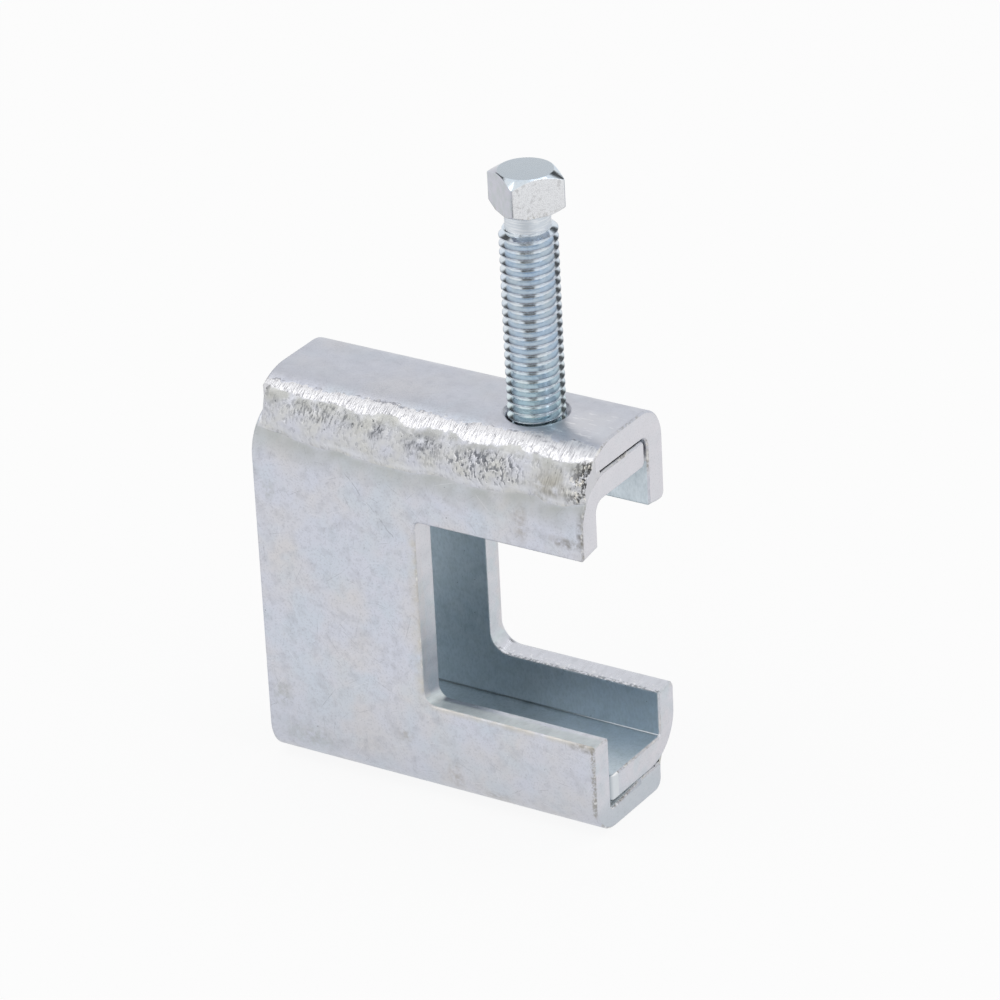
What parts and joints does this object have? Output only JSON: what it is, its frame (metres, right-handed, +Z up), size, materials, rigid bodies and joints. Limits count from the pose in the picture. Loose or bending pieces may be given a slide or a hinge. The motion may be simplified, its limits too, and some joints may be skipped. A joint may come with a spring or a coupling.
{
  "type": "beam clamp",
  "caption": "Heavy C-shaped beam clamp of lapped, welded and zinc-plated steel plate with a square-head set screw down through its upper jaw.",
  "frame": {"origin": "middle of the length and width, on the plane the clamp stands on", "axes": "+X out of the open jaws, +Y across the webs away from the side with the long weld, +Z up along the set screw"},
  "size_m": [0.0846, 0.0338, 0.1471],
  "materials": {
    "plated_plate": "bright zinc plate over hot-rolled plate, satin with stains and scratches",
    "plated_weld": "zinc plated weld bead, partly ground",
    "plated_screw": "bright zinc plated, cold-formed and threaded"
  },
  "bodies": {
    "clamp_frame": {"near_half": "plated_plate", "far_half": "plated_plate", "top_weld": "plated_weld", "bottom_weld": "plated_weld"},
    "screw": {"set_screw": "plated_screw"}
  },
  "joints": [
    {"name": "screw_feed", "type": "slide", "parent": "clamp_frame", "child": "screw", "axis": [0, 0, -1], "range_m": [-0.003, 0.0468]}
  ]
}
